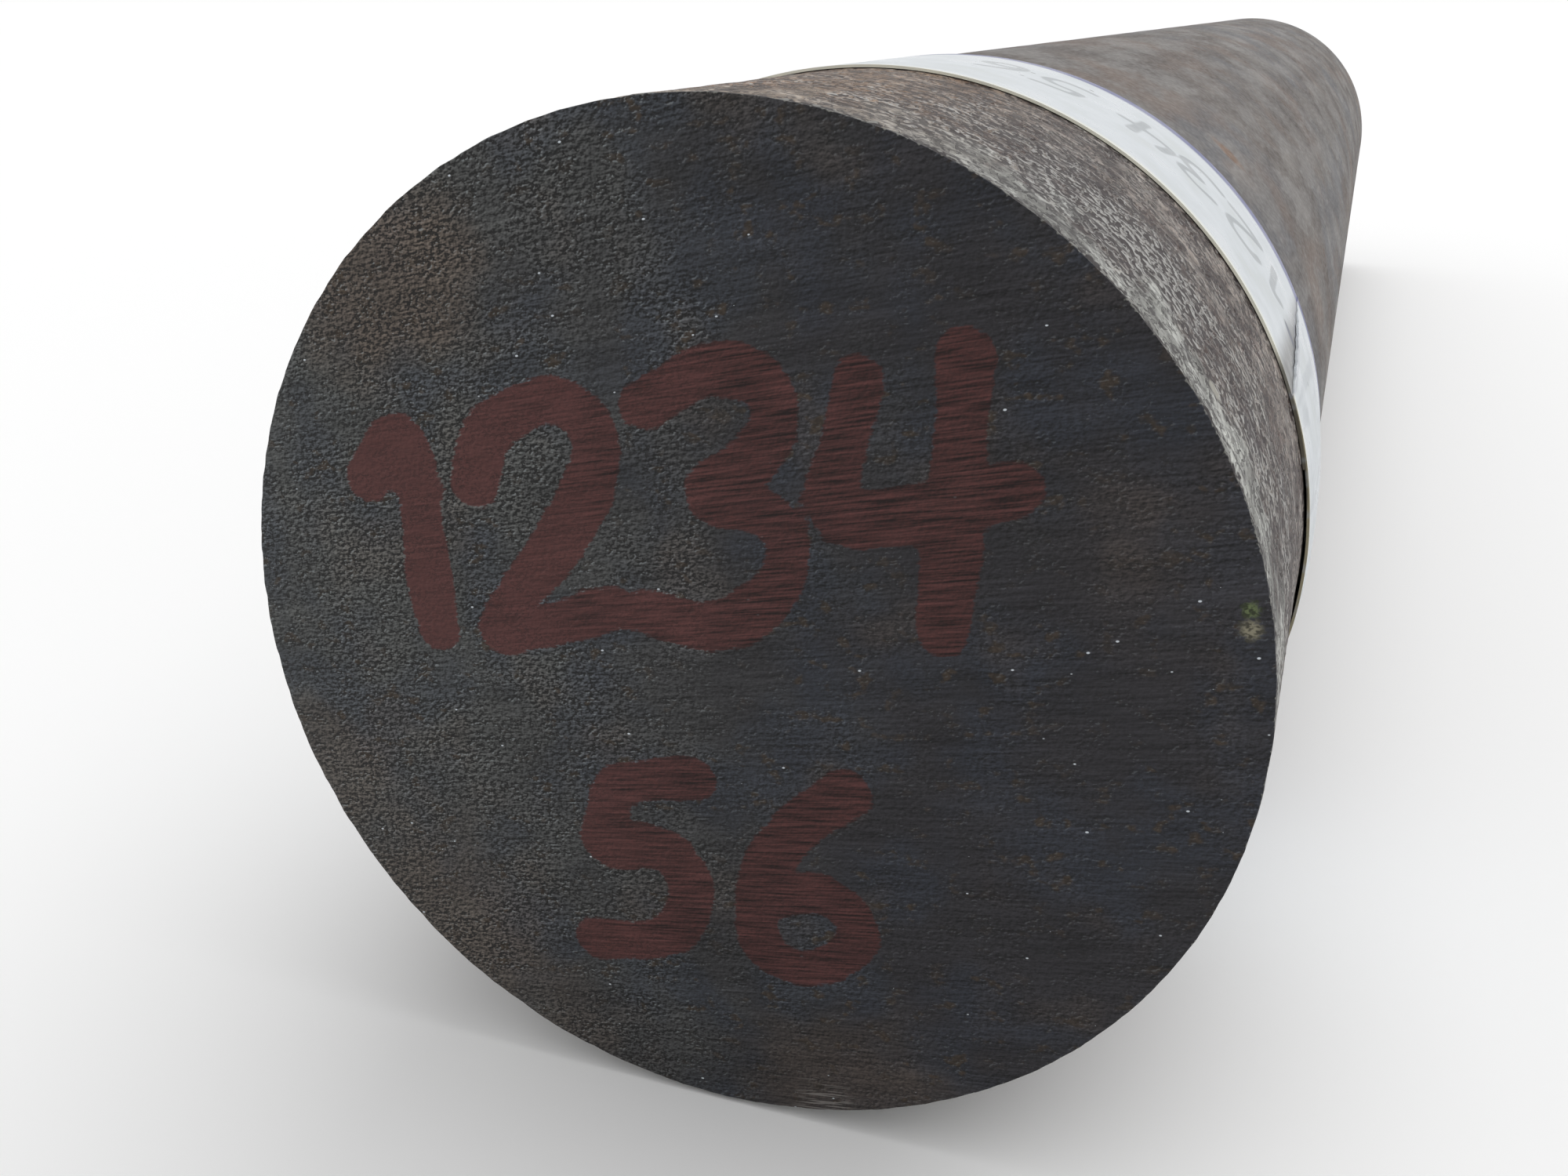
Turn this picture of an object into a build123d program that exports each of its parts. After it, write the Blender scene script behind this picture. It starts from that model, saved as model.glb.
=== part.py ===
from build123d import *
from math import cos, radians, sin
import os

# Round bar of hot-rolled steel, sawn to length, with one wrap of label tape near its marked end.
# Millimetres and degrees. The origin is the centre of the marked end, which faces -Y. The bar lies
# along +Y, with +Z up. Angles round the bar run from +X towards +Z.

# ---- Driving dimensions: the bar ----
bar_diameter = 50.8         # two-inch stock
bar_length = 304.8          # a twelve-inch cut
rim_break = 0.2             # bevel left where the saw breaks out at each end

# ---- Driving dimensions: the label tape ----
tape_width = 19.0
tape_thickness = 0.2
tape_setback = 23.6         # from the marked end to the tape's near edge
tape_start = 12.0           # angle at which the wrap starts
tape_overlap = 14.0         # how far the wrap runs past its start, along its far edge
stuck_overlap = 8.0         # the last of that run, which is stuck down on the first layer
torn_slant = 5.0            # how much shorter the torn end is along the near edge
loose_run = 86.0            # the stretch before the start that stands off the bar
loose_gap = 0.7             # how far it stands off at its middle

# ---- Sizes that follow from them ----
bar_radius = bar_diameter / 2
first_layer = bar_radius + tape_thickness       # outside of the layer that is stuck to the bar
second_layer = first_layer + tape_thickness     # outside of the lap
loose_from = tape_start - loose_run
tape_end = tape_start + tape_overlap
stuck_from = tape_end - stuck_overlap

# The marked end faces the viewer: X to the right, Z up, and the stock behind it.
marked_end = Plane(origin=(0, 0, 0), x_dir=(1, 0, 0), z_dir=(0, -1, 0))
tape_edge = marked_end.offset(-tape_setback)


def at(radius, angle):
    """A point on an end plane, by its distance from the bar's axis and its angle round it."""
    return (radius * cos(radians(angle)), radius * sin(radians(angle)))


def round_arc(radius, first, last):
    """An arc round the bar's axis, from one angle to another."""
    return ThreePointArc(at(radius, first), at(radius, (first + last) / 2), at(radius, last))


def bowed_arc(first_radius, last_radius, bow):
    """The loose run's arc, which leaves the bar, bows out by bow and comes down on the first layer."""
    middle = at(first_radius + bow, (loose_from + stuck_from) / 2)
    return ThreePointArc(at(first_radius, loose_from), middle, at(last_radius, stuck_from))


# ---- The bar: one solid length of round stock ----
with BuildPart() as bar:
    with BuildSketch(marked_end):
        Circle(bar_radius)
    extrude(amount=-bar_length)
    chamfer(bar.edges().filter_by(GeomType.CIRCLE), length=rim_break)

# ---- The corner that is missing from the tape's torn end, from its near edge to its far one ----
torn_span = (tape_end - 2 * torn_slant, tape_end + torn_slant)
clear_of_lap = second_layer + tape_thickness
short_tip = tape_edge.from_local_coords(at(first_layer, tape_end - torn_slant))
long_tip = tape_edge.offset(-tape_width).from_local_coords(at(first_layer, tape_end))
outward = marked_end.from_local_coords(at(1, tape_end - torn_slant / 2))
torn_line = Plane(origin=short_tip, x_dir=long_tip - short_tip, z_dir=outward.cross(long_tip - short_tip))

with BuildPart() as torn_corner:
    with BuildSketch(tape_edge):
        with BuildLine():
            round_arc(first_layer, *torn_span)
            Line(at(first_layer, torn_span[1]), at(clear_of_lap, torn_span[1]))
            round_arc(clear_of_lap, *torn_span)
            Line(at(clear_of_lap, torn_span[0]), at(first_layer, torn_span[0]))
        make_face()
    extrude(amount=-tape_width)
    split(bisect_by=torn_line, keep=Keep.TOP)

# ---- The label tape: one strip, stuck to the bar, whose last stretch stands off and laps its start ----
with BuildPart() as label_tape:
    with BuildSketch(tape_edge):
        with BuildLine():
            round_arc(bar_radius, tape_start, loose_from + 360)
            Line(at(bar_radius, loose_from), at(first_layer, loose_from))
            round_arc(first_layer, tape_start, loose_from + 360)
            Line(at(first_layer, tape_start), at(bar_radius, tape_start))
        make_face()
        with BuildLine():
            bowed_arc(bar_radius, first_layer, loose_gap)
            round_arc(first_layer, stuck_from, tape_end)
            Line(at(first_layer, tape_end), at(second_layer, tape_end))
            round_arc(second_layer, stuck_from, tape_end)
            bowed_arc(first_layer, second_layer, loose_gap)
            Line(at(first_layer, loose_from), at(bar_radius, loose_from))
        make_face()
    extrude(amount=-tape_width)
    add(torn_corner.part, mode=Mode.SUBTRACT)

# ---- Write one STEP file for each piece ----
os.makedirs("parts", exist_ok=True)
bar.part.label = "bar"
export_step(bar.part, "parts/bar.step")
label_tape.part.label = "label_tape"
export_step(label_tape.part, "parts/label_tape.step")
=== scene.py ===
from math import atan2, cos, degrees, hypot, pi, radians, sin

import bpy
import numpy as np
from bpy.props import FloatProperty, FloatVectorProperty, IntProperty, PointerProperty
from bpy.types import Operator, Panel, PropertyGroup
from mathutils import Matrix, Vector


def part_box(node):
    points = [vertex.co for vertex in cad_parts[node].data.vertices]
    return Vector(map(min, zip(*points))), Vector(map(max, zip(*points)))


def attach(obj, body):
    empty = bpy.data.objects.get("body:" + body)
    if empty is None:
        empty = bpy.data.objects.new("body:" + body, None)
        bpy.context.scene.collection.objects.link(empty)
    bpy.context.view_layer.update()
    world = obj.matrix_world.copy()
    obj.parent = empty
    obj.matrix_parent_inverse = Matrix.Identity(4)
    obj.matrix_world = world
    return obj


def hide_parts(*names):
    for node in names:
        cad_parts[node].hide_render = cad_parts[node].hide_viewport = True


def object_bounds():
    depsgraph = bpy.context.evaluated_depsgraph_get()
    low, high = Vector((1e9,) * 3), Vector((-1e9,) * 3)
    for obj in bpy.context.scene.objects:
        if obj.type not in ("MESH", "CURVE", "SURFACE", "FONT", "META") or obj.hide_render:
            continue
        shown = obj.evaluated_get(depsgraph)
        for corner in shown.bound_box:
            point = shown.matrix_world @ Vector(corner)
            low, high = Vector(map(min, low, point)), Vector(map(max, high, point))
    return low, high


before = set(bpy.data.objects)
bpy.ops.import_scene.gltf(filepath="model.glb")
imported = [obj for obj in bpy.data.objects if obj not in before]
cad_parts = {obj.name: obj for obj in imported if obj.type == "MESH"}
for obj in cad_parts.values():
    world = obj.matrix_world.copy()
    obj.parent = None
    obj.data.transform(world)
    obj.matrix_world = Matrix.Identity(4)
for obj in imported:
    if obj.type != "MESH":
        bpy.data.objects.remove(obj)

bl_info = {
    "name": "Sawn Round Bar",
    "version": (1, 0, 0),
    "blender": (4, 5, 0),
    "location": "3D View > Sidebar > Round Bar",
    "description": "A length of hot-rolled round steel with a marked sawn end and a wrap of label tape",
    "category": "Add Mesh",
}

MM = 0.001
CAD_LOW, CAD_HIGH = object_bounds()
BAR_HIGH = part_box("bar")[1]
TAPE_LOW, TAPE_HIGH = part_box("label_tape")
BAR_RADIUS = BAR_HIGH.z
BAR_LENGTH = BAR_HIGH.y
TAPE_WIDTH = TAPE_HIGH.y - TAPE_LOW.y
TAPE_THICKNESS = TAPE_HIGH.z - BAR_RADIUS
# In millimetres, in which the materials read their places.
RADIUS = BAR_RADIUS / MM
TAPE_NEAR, TAPE_FAR = TAPE_LOW.y / MM, TAPE_HIGH.y / MM
FAR_TILT = -0.4  # slope of the saw marks across the far end, in radians


def chip(red, green, blue):
    """A display colour, 0 to 255 in each channel, as the linear colour that a shader takes."""
    def linear(level):
        share = level / 255
        return share / 12.92 if share <= 0.04045 else ((share + 0.055) / 1.055) ** 2.4

    return (linear(red), linear(green), linear(blue), 1.0)


def colour(name, description, default):
    """A colour that a user may change."""
    return FloatVectorProperty(name=name, description=description, size=4, subtype="COLOR", min=0, max=1,
                               default=default)


def length(name, description, default):
    """A size that a user may change, in metres."""
    return FloatProperty(name=name, description=description, default=default, min=0, unit="LENGTH",
                         precision=6)


def angle(name, description, turn):
    """An angle that a user may change, with its default given in degrees."""
    return FloatProperty(name=name, description=description, default=radians(turn), unit="ROTATION")


# ---- Sizes and colours ----


class BarSettings(PropertyGroup):
    """The bar's mesh, and the finish of its sawn ends and its rolled side."""

    sides: IntProperty(name="Sides", description="Facets round the bar", default=384, min=64, max=512)
    kerf_tilt: angle("Kerf tilt", "Slope of the saw marks across the marked end", 11.5)
    kerf_pitch: length("Kerf pitch", "Distance from one saw mark to the next", 0.42 * MM)
    kerf_depth: length("Kerf depth", "Depth of the deepest saw marks", 0.045 * MM)
    scale_relief: length("Scale relief", "Height of the flakes of mill scale", 0.06 * MM)
    sawn_dark: colour("Sawn end, dark", "Smooth side of the marked end", chip(41, 40, 43))
    sawn_pale: colour("Sawn end, pale", "Grainy side of the marked end", chip(68, 69, 68))
    sawn_blue: colour("Sawn end, blue", "Thin bluish oxide", chip(44, 50, 60))
    sawn_brown: colour("Sawn end, brown", "Stain near the rim", chip(78, 68, 60))
    scale_grey: colour("Scale, grey", "Flakes of mill scale", chip(148, 143, 136))
    scale_brown: colour("Scale, brown", "Ground under the flakes", chip(86, 74, 68))
    rust: colour("Rust", "Small spots of rust", chip(64, 53, 41))
    paint: colour("Marker paint", "Paint of the marks on the sawn end", chip(80, 47, 45))


class TapeSettings(PropertyGroup):
    """The label tape."""

    start: angle("Start", "Angle at which the wrap starts", 12)
    loose_run: angle("Loose run", "Stretch before the start that stands off", 86)
    loose_gap: length("Loose gap", "How far the loose run stands off the bar", 0.42 * MM)
    overlap: angle("Overlap", "How far the wrap runs past its start", 14)
    stuck: angle("Stuck overlap", "Last of the overlap, which is stuck down", 8)
    slant: angle("Torn slant", "How much shorter the torn end is at its near edge", 5)
    white: colour("Tape white", "Face of the tape", chip(192, 198, 203))
    cream: colour("Tape edge", "Cut edge of the tape", chip(226, 225, 208))
    ink: colour("Ink", "Grey marker on the tape", chip(140, 146, 150))


class StageSettings(PropertyGroup):
    """The camera, the light and the floor."""

    azimuth: angle("Azimuth", "Way round the bar that the camera stands", 20.24)
    elevation: angle("Elevation", "Angle by which the camera looks down", 21.22)
    standpoint: FloatVectorProperty(name="Standpoint", description="Camera, from the marked end's centre",
                                    size=3, subtype="XYZ_LENGTH", default=(0.02571, -0.05975, 0.02876))
    lens: FloatProperty(name="Lens", description="Focal length on a 36 mm sensor, in millimetres",
                        default=34.67, min=1)
    world_level: FloatProperty(name="World level", description="Strength of the light all round",
                               default=0.72, min=0)
    sun_level: FloatProperty(name="Sun level", description="Strength of the broad soft sun overhead",
                             default=1.3, min=0)
    floor: colour("Floor", "Colour of the floor", (0.92, 0.92, 0.92, 1.0))


# ---- Modelling helpers ----


def put_down():
    """Leaves edit mode and selects nothing, so that the next operator acts only on what it is given."""
    if bpy.context.object and bpy.context.object.mode != "OBJECT":
        bpy.ops.object.mode_set(mode="OBJECT")
    bpy.ops.object.select_all(action="DESELECT")


def pick_up(ob):
    """Selects one object and makes it the active one."""
    put_down()
    ob.select_set(True)
    bpy.context.view_layer.objects.active = ob


def name_piece(name):
    """Names the new primitive, and applies its place, so that the object sits at the origin."""
    ob = bpy.context.object
    ob.name = ob.data.name = name
    bpy.ops.object.transform_apply(location=True, rotation=True, scale=True)
    return ob


def select_parts(ob, kind, wanted):
    """In edit mode, selects the faces, edges or vertices for which wanted says yes."""
    bpy.ops.object.mode_set(mode="OBJECT")
    mesh = ob.data
    for parts in (mesh.vertices, mesh.edges, mesh.polygons):
        parts.foreach_set("select", [False] * len(parts))
    chosen = {"VERT": mesh.vertices, "EDGE": mesh.edges, "FACE": mesh.polygons}[kind]
    chosen.foreach_set("select", [bool(wanted(part)) for part in chosen])
    bpy.context.tool_settings.mesh_select_mode = [kind == each for each in ("VERT", "EDGE", "FACE")]
    bpy.ops.object.mode_set(mode="EDIT")


def slice_end(ob, facing, direction, step, reach):
    """Cuts the faces that look along Y, or against it, into strips a step apart, square to direction."""
    for count in range(-int(reach / step), int(reach / step) + 1):
        bpy.ops.object.mode_set(mode="OBJECT")
        faces = ob.data.polygons
        normals = np.empty(len(faces) * 3, dtype=np.float32)
        faces.foreach_get("normal", normals)
        faces.foreach_set("select", normals[1::3] * facing > 0.9)
        bpy.ops.object.mode_set(mode="EDIT")
        bpy.ops.mesh.bisect(plane_co=direction * (count * step), plane_no=direction)


def vertex_group(ob, name, weight):
    """A vertex group that holds each vertex at the weight that its place gives it."""
    group = ob.vertex_groups.new(name=name)
    for vertex in ob.data.vertices:
        share = weight(vertex.co)
        if share > 0:
            group.add([vertex.index], share, "REPLACE")
    return name


def apply_modifier(ob, label, kind, **settings):
    """Adds a modifier with these settings to the active object, and applies it."""
    modifier = ob.modifiers.new(label, kind)
    for name, value in settings.items():
        setattr(modifier, name, value)
    bpy.ops.object.modifier_apply(modifier=label)


def displace(ob, label, texture, size, amount, level, way="NORMAL", group="", turn=0.0):
    """Shapes a piece with a noise texture, whose features have the given size along X, Y and Z."""
    bpy.ops.object.select_all(action="DESELECT")
    bpy.ops.object.empty_add(rotation=(0, turn, 0), scale=size)
    ruler = bpy.context.object
    ruler.scale = size
    bpy.context.view_layer.update()
    pick_up(ob)
    apply_modifier(ob, label, "DISPLACE", texture=texture, texture_coords="OBJECT", texture_coords_object=ruler,
                   direction=way, strength=amount, mid_level=level, vertex_group=group)
    bpy.data.objects.remove(ruler)


def noise_texture(name, depth=2, steps=()):
    """A noise for displacing, with features one unit across and, if asked, steps in its height."""
    texture = bpy.data.textures.new(name, "CLOUDS")
    texture.noise_scale = 1.0
    texture.noise_depth = depth
    if steps:
        texture.use_color_ramp = True
        ramp = texture.color_ramp
        for element, (place, height) in zip(ramp.elements, (steps[0], steps[-1])):
            element.color = (height,) * 3 + (1,)
            element.position = place
        for place, height in steps[1:-1]:
            ramp.elements.new(place).color = (height,) * 3 + (1,)
    return texture


# ---- Shader helpers ----


class Recipe:
    """Lays out a node tree: each word adds a node, feeds it and gives back its output."""

    def __init__(self, tree):
        self.tree = tree

    def feed(self, socket, value):
        if isinstance(value, bpy.types.NodeSocket):
            self.tree.links.new(value, socket)
        else:
            socket.default_value = value

    def node(self, kind, settings=(), inputs=()):
        node = self.tree.nodes.new(kind)
        for name, value in dict(settings).items():
            setattr(node, name, value)
        for name, value in dict(inputs).items():
            self.feed(node.inputs[name], value)
        return node

    def math(self, operation, first, second=0.0):
        return self.node("ShaderNodeMath", {"operation": operation}, {0: first, 1: second}).outputs[0]

    def chain(self, operation, first, others):
        for other in others:
            first = self.math(operation, first, other)
        return first

    def total(self, first, *others):
        return self.chain("ADD", first, others)

    def times(self, first, *others):
        return self.chain("MULTIPLY", first, others)

    def larger(self, first, *others):
        return self.chain("MAXIMUM", first, others)

    def less(self, first, second):
        return self.math("SUBTRACT", first, second)

    def about(self, value, level, share):
        """How far value is above a level, times a share."""
        return self.times(self.less(value, level), share)

    def vector(self, operation, first, second=(0, 0, 0), scale=1.0):
        node = self.node("ShaderNodeVectorMath", {"operation": operation}, {0: first, 1: second, 3: scale})
        return node.outputs["Value" if operation in ("DOT_PRODUCT", "LENGTH") else "Vector"]

    def split(self, vector):
        return self.node("ShaderNodeSeparateXYZ", (), {0: vector}).outputs

    def join(self, x=0.0, y=0.0, z=0.0):
        return self.node("ShaderNodeCombineXYZ", (), {0: x, 1: y, 2: z}).outputs[0]

    def rise(self, value, low, high, least=0.0, most=1.0):
        """Goes smoothly from least to most while value goes from low to high."""
        return self.node("ShaderNodeMapRange", {"interpolation_type": "SMOOTHSTEP"},
                         {0: value, 1: low, 2: high, 3: least, 4: most}).outputs[0]

    def vein(self, value, level, wide, core, most=1.0):
        """A line along which value is at a level, faint from wide off it and full from core off it."""
        return self.rise(self.math("ABSOLUTE", self.less(value, level)), wide, core, 0.0, most)

    def mix(self, amount, first, second):
        return self.node("ShaderNodeMix", {"data_type": "RGBA"}, {0: amount, 6: first, 7: second}).outputs[2]

    def tint(self, base, mask, share, shade):
        """The base, with a share of a shade over it where the mask is 1."""
        return self.mix(self.times(mask, share), base, shade)

    def lit(self, shade, level, least):
        """A shade made lighter or darker by a level, which is at least the least."""
        return self.vector("SCALE", shade, scale=self.larger(level, least))

    def noise(self, place, scale=1.0, detail=2.0, roughness=0.5, flat=False, output=0):
        return self.node("ShaderNodeTexNoise", {"noise_dimensions": "2D" if flat else "3D"},
                         {"Vector": place, "Scale": scale, "Detail": detail,
                          "Roughness": roughness}).outputs[output]

    def clouds(self, place, scale, detail):
        """Three noises at once over a flat place."""
        return self.split(self.noise(place, scale, detail, 0.6, flat=True, output=1))

    def use(self, group, **inputs):
        node = self.tree.nodes.new("ShaderNodeGroup")
        node.node_tree = group
        for name, value in inputs.items():
            self.feed(node.inputs[name.replace("_", " ")], value)
        return node.outputs


def new_group(name, inputs, outputs):
    """A shader node group with named inputs, each with its default, and named outputs."""
    tree = bpy.data.node_groups.new(name, "ShaderNodeTree")
    for label, value in inputs.items():
        kind = "NodeSocketFloat" if isinstance(value, (int, float)) else "NodeSocketVector"
        tree.interface.new_socket(label, in_out="INPUT", socket_type=kind).default_value = value
    for label in outputs:
        tree.interface.new_socket(label, in_out="OUTPUT", socket_type="NodeSocketFloat")
    given = tree.nodes.new("NodeGroupInput").outputs
    made = tree.nodes.new("NodeGroupOutput").inputs
    return tree, Recipe(tree), given, made


def group_once(name, build):
    """The node group of that name, built the first time it is asked for."""
    return bpy.data.node_groups.get(name) or build(name)


def build_saw_marks(name):
    """Saw marks across a cut end. Place is in millimetres, with the cut in its XZ plane."""
    tree, r, given, made = new_group(name, {"Place": (0, 0, 0), "Tilt": 0.2, "Pitch": 0.4, "Fan": 0.0015},
                                     ("Bands", "Lines", "Hairs", "Along", "Across"))
    turned = r.node("ShaderNodeVectorRotate", {"rotation_type": "Y_AXIS"},
                    {"Vector": given["Place"], "Angle": given["Tilt"]}).outputs[0]
    along, _, across = r.split(turned)
    fanned = r.times(across, r.less(1.0, r.times(along, given["Fan"])))
    for label, run, share, detail in (("Bands", 9.0, 3.0, 1.0), ("Lines", 4.5, 0.38, 1.5),
                                      ("Hairs", 1.8, 0.22, 0.0)):
        place = r.join(r.math("DIVIDE", along, run),
                       r.math("DIVIDE", fanned, r.times(given["Pitch"], share)))
        r.feed(made[label], r.noise(place, detail=detail, roughness=0.6, flat=True))
    r.feed(made["Along"], along)
    r.feed(made["Across"], fanned)
    return tree


def build_flecks(name):
    """Small scattered spots. Share is how many of the cells hold one, and Size is in cells."""
    tree, r, given, made = new_group(name, {"Place": (0, 0, 0), "Spacing": 1.0, "Size": 0.2, "Share": 0.3},
                                     ("Mask",))
    place = r.vector("SCALE", given["Place"], scale=r.math("DIVIDE", 1.0, given["Spacing"]))
    cells = r.node("ShaderNodeTexVoronoi", {"voronoi_dimensions": "3D", "feature": "F1"},
                   {"Vector": place, "Scale": 1.0})
    gone, grown, _ = r.split(cells.outputs["Color"])
    reach = r.times(given["Size"], r.total(0.4, grown))
    spot = r.rise(r.math("DIVIDE", cells.outputs["Distance"], reach), 1.0, 0.55)
    r.feed(made["Mask"], r.times(spot, r.math("LESS_THAN", gone, given["Share"])))
    return tree


def build_patch(name):
    """A soft patch about a centre, 1 inside and 0 past its reach, made ragged by a noise from outside."""
    tree, r, given, made = new_group(name, {"Place": (0, 0, 0), "Centre": (0, 0, 0), "Reach": 5.0,
                                            "Rough": 0.5}, ("Mask",))
    far = r.vector("LENGTH", r.vector("SUBTRACT", given["Place"], given["Centre"]))
    share = r.total(r.math("DIVIDE", far, given["Reach"]), r.about(given["Rough"], 0.5, 1.1))
    r.feed(made["Mask"], r.rise(share, 1.0, 0.4))
    return tree


def build_crust(name):
    """Crumbs of a corroded skin, as the light would model them. Place runs over the skin, in millimetres.

    Height runs from 0 to 1, and Relief shading is painted light and shade about 0: above it on the lit side of a
    crumb, below it on the shaded side."""
    tree, r, given, made = new_group(name, {"Place": (0, 0, 0), "Size": 0.4, "Lit from": (0, 0.2, 0)},
                                     ("Height", "Relief shading"))
    place = r.vector("SCALE", given["Place"], scale=r.math("DIVIDE", 1.0, given["Size"]))
    height, lit = (r.noise(at, detail=1.5, roughness=0.6, flat=True)
                   for at in (place, r.vector("ADD", place, given["Lit from"])))
    r.feed(made["Height"], height)
    r.feed(made["Relief shading"], r.less(height, lit))
    return tree


def saw_marks(r, place, tilt, pitch):
    return r.use(group_once("Saw marks", build_saw_marks), Place=place, Tilt=tilt, Pitch=pitch)


def crust(r, place, size, lit_from):
    """The height of the crumbs, and the painted light and shade of their relief."""
    made = r.use(group_once("Crust", build_crust), Place=place, Size=size, Lit_from=lit_from)
    return made["Height"], made["Relief shading"]


def flecks(r, place, spacing, size, share):
    return r.use(group_once("Flecks", build_flecks), Place=place, Spacing=spacing, Size=size,
                 Share=share)["Mask"]


def patch(r, place, centre, reach, rough):
    return r.use(group_once("Soft patch", build_patch), Place=place, Centre=centre, Reach=reach,
                 Rough=rough)["Mask"]


def on_side(angle, along):
    """A place on the bar's side, in millimetres, at an angle in degrees from +X towards the top."""
    return (RADIUS * cos(radians(angle)), along, RADIUS * sin(radians(angle)))


# Plain digits, each a list of pen lines through points in a box one high, with its foot at 0.
DIGITS = {
    1: [[(0.1, 0.74), (0.34, 1.0), (0.36, 0.5), (0.4, 0.0)]],
    2: [[(0.0, 0.72), (0.1, 0.98), (0.46, 1.04), (0.62, 0.76), (0.4, 0.42), (0.0, 0.03), (0.2, 0.04),
         (0.64, 0.1)]],
    3: [[(0.02, 0.92), (0.3, 1.06), (0.58, 0.9), (0.5, 0.66), (0.2, 0.54), (0.56, 0.46), (0.62, 0.2),
         (0.36, -0.02), (0.0, 0.08)]],
    4: [[(0.12, 0.96), (0.04, 0.7), (0.0, 0.44), (0.3, 0.46), (0.7, 0.54)],
        [(0.5, 1.02), (0.48, 0.5), (0.46, 0.0)]],
    5: [[(0.6, 1.0), (0.34, 1.0), (0.12, 0.96), (0.1, 0.76), (0.06, 0.58), (0.38, 0.66), (0.6, 0.4),
         (0.44, 0.04), (0.0, 0.04)]],
    6: [[(0.5, 1.0), (0.2, 0.78), (0.02, 0.36), (0.12, 0.02), (0.42, 0.0), (0.6, 0.24), (0.4, 0.46),
         (0.12, 0.38)]],
}
FAR_AWAY = 99.0  # millimetres, further from a pen line than any ink reaches


def rounded(line, times=2):
    """The same pen line with its corners cut, which leaves its ends where they were."""
    for _ in range(times):
        cut = [line[0]]
        for (ax, az), (bx, bz) in zip(line, line[1:]):
            cut += [(share * ax + (1 - share) * bx, share * az + (1 - share) * bz) for share in (0.75, 0.25)]
        line = cut + [line[-1]]
    return line


def write_on(ob, flat, digits):
    """Stores each vertex's distance, in millimetres, from the nearest pen line of some digits.

    Flat gives the vertices' places on the writing surface, and each digit is (digit, x, foot, height, slant)."""
    nearest = np.full(len(flat), FAR_AWAY)
    for digit, x, foot, high, slant in digits:
        for line in DIGITS[digit]:
            points = [np.array((x + high * across, foot + high * (up + across * slant)))
                      for across, up in rounded(line)]
            for start, end in zip(points, points[1:]):
                run = end - start
                share = np.clip((flat - start) @ run / (run @ run), 0, 1)
                nearest = np.minimum(nearest, np.linalg.norm(flat - start - share[:, None] * run, axis=1))
    layer = ob.data.attributes.new("pen_distance", "FLOAT", "POINT")
    layer.data.foreach_set("value", nearest)


def vertex_places(ob):
    """The vertices' places, in millimetres, one row each."""
    places = np.empty(len(ob.data.vertices) * 3)
    ob.data.vertices.foreach_get("co", places)
    return places.reshape(-1, 3) / MM


def new_material(name):
    """A material, the recipe of its nodes, its shader and its place in millimetres."""
    material = bpy.data.materials.new(name)
    material.use_nodes = True
    r = Recipe(material.node_tree)
    shader = material.node_tree.nodes["Principled BSDF"]
    place = r.vector("SCALE", r.node("ShaderNodeTexCoord").outputs["Object"], scale=1 / MM)
    return material, r, shader, place


def dress(r, shader, shade, bumps, depth, dullness, gloss):
    """Feeds the shader. The bumps run from 0 to 1, and their depth is in metres."""
    bumped = r.node("ShaderNodeBump", (), {"Strength": 1.0, "Distance": depth, "Height": bumps}).outputs[0]
    for name, value in (("Base Color", shade), ("Normal", bumped), ("Roughness", dullness),
                        ("Specular IOR Level", gloss)):
        r.feed(shader.inputs[name], value)


def pen_distance(r):
    return r.node("ShaderNodeAttribute", {"attribute_name": "pen_distance"}).outputs["Fac"]


# ---- Finishes ----

# The marks on the sawn end, in millimetres from its centre: (digit, x, foot, height, slant).
PAINTED = ((1, -19.3, -1.6, 11.0, 0.22), (2, -12.2, -1.0, 11.6, 0.22), (3, -3.3, 0.9, 12.0, 0.18),
           (4, 5.6, 2.0, 12.0, 0.16), (5, -6.9, -17.6, 10.0, 0.16), (6, 1.7, -16.8, 10.2, 0.16))
PEN_WIDTH = 2.4
# The same digits on the tape: along its run from +X, and up towards the marked end.
WRITTEN = ((1, 12.2, 0.3, 5.0, 0.0), (2, 15.6, 0.2, 5.2, 0.0), (3, 19.8, 0.1, 5.2, 0.0),
           (4, 23.6, 0.0, 5.2, 0.0), (5, 29.6, 0.0, 5.0, 0.0), (6, 33.8, -0.3, 4.6, 0.0))
WRITTEN_FOOT = 37.2
# Brown stains on the sawn end: (x, z, reach, strength).
STAINS = ((-17.0, 17.0, 6.5, 0.7), (-15.5, -19.0, 9.0, 0.5), (-22.0, -9.0, 5.0, 0.4), (8.0, -24.0, 8.0, 0.4),
          (22.5, 8.0, 7.0, 0.1))
# Crumbs of debris by the rim of the sawn end: (x, z, reach, colour).
DEBRIS = ((23.85, 5.75, 0.5, chip(82, 92, 62)), (23.95, 4.9, 0.62, chip(112, 108, 92)))
# Rust on the side: (degrees from +X, millimetres from the marked end, reach).
SIDE_RUST = ((48, 54.0, 2.2), (93, 8.0, 3.0))


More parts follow.
